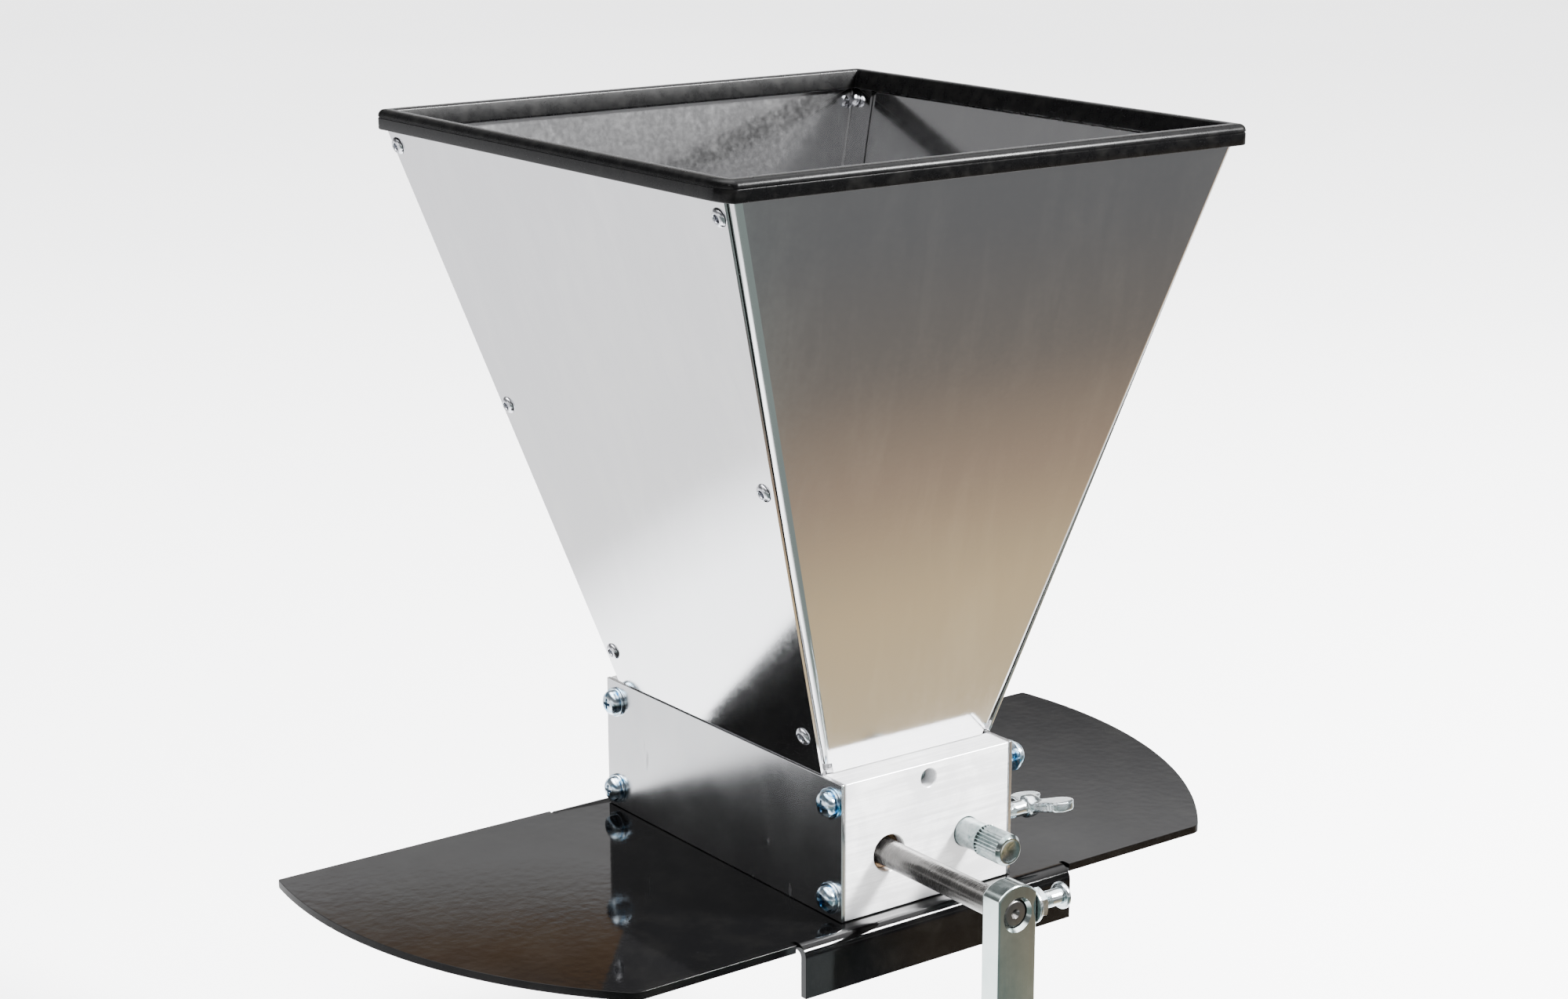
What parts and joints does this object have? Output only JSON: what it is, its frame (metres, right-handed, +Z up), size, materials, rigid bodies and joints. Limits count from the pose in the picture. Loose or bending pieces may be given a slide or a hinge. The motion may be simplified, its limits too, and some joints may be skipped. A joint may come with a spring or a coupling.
{
  "type": "hand-cranked two-roller grain mill",
  "caption": "Hand-cranked two-roller grain mill: square flared hopper over a roller box on a winged base plate that seats on a bucket, with a crank arm and a roller-gap knob.",
  "frame": {"origin": "middle of the roller box, on the plane of the base plate's underside, which is the plane of the bucket's rim that carries it", "axes": "+Z up out of the hopper; +Y along the rollers towards the rear end plate, so the crank is at -Y; +X to the right seen from the crank side, across the wings"},
  "size_m": [0.3712, 0.3466, 0.4202],
  "materials": {
    "hopper_steel": "satin rolled sheet",
    "plate_aluminium": "fine machined",
    "panel_steel": "semi-polished sheet",
    "black_paint": "gloss powder coat",
    "roller_steel": "knurled, oiled",
    "ground_steel": "ground",
    "zinc": "bright zinc plate",
    "crank_steel": "bright plated bar",
    "bronze": "sintered, oiled",
    "black_rubber": "matte",
    "grip_plastic": "moulded",
    "rivet_aluminium": "bright"
  },
  "bodies": {
    "body": {"base_plate": "black_paint", "front_end_plate": "plate_aluminium", "rear_end_plate": "plate_aluminium", "left_side_panel": "panel_steel", "right_side_panel": "panel_steel", "side_screw_left_front_lower": "zinc", "side_screw_left_front_upper": "zinc", "side_screw_left_rear_lower": "zinc", "side_screw_left_rear_upper": "zinc", "side_screw_right_front_lower": "zinc", "side_screw_right_front_upper": "zinc", "side_screw_right_rear_lower": "zinc", "side_screw_right_rear_upper": "zinc", "base_screw_front_left": "zinc", "base_screw_front_right": "zinc", "base_screw_rear_left": "zinc", "base_screw_rear_right": "zinc", "hopper_front_panel": "hopper_steel", "hopper_rear_panel": "hopper_steel", "hopper_left_panel": "hopper_steel", "hopper_right_panel": "hopper_steel", "rim_trim": "black_rubber", "hopper_rivet_left_front_1": "rivet_aluminium", "hopper_rivet_left_front_2": "rivet_aluminium", "hopper_rivet_left_front_3": "rivet_aluminium", "hopper_rivet_left_rear_1": "rivet_aluminium", "hopper_rivet_left_rear_2": "rivet_aluminium", "hopper_rivet_left_rear_3": "rivet_aluminium", "hopper_rivet_right_front_1": "rivet_aluminium", "hopper_rivet_right_front_2": "rivet_aluminium", "hopper_rivet_right_front_3": "rivet_aluminium", "hopper_rivet_right_rear_1": "rivet_aluminium", "hopper_rivet_right_rear_2": "rivet_aluminium", "hopper_rivet_right_rear_3": "rivet_aluminium", "hopper_screw_front": "zinc", "hopper_screw_rear": "zinc", "hopper_nut_front": "zinc", "hopper_nut_rear": "zinc", "drive_bush_front": "bronze", "drive_bush_rear": "bronze"},
    "crank": {"drive_shaft": "ground_steel", "drive_roller": "roller_steel", "crank_arm": "crank_steel", "crank_lock_nut": "zinc", "crank_lock_washer": "zinc", "handle_spindle": "zinc", "handle_nut": "zinc", "handle_washer": "zinc"},
    "clamp_bolt": {"crank_clamp_bolt": "zinc"},
    "grip": {"handle_grip": "grip_plastic"},
    "adjuster": {"gap_adjuster": "zinc"},
    "idler": {"idler_roller": "roller_steel", "idler_bush_front": "bronze", "idler_bush_rear": "bronze"},
    "wing": {"wing_screw": "zinc"}
  },
  "joints": [
    {"name": "crank_turn", "type": "hinge", "parent": "body", "child": "crank", "pos_m": [-0.018, 0, 0.025], "axis": [0, 1, 0], "continuous": true},
    {"name": "grip_spin", "type": "hinge", "parent": "crank", "child": "grip", "pos_m": [-0.018, -0.19, -0.125], "axis": [0, 1, 0], "continuous": true},
    {"name": "clamp_bolt_turn", "type": "hinge", "parent": "crank", "child": "clamp_bolt", "pos_m": [-0.018, -0.1425, 0.025], "axis": [1, 0, 0], "range_deg": [0, 360]},
    {"name": "gap_adjust", "type": "hinge", "parent": "body", "child": "adjuster", "pos_m": [0.018, -0.094, 0.025], "axis": [0, 1, 0], "range_deg": [-90, 90]},
    {"name": "idler_turn", "type": "hinge", "parent": "adjuster", "child": "idler", "pos_m": [0.018, 0, 0.0256], "axis": [0, 1, 0], "continuous": true},
    {"name": "wing_screw_turn", "type": "hinge", "parent": "body", "child": "wing", "pos_m": [0.051, -0.06985, 0.025], "axis": [1, 0, 0], "range_deg": [0, 360]}
  ],
  "couplings": [
    {"joint": "idler_turn", "follows": "crank_turn", "ratio": -1}
  ]
}
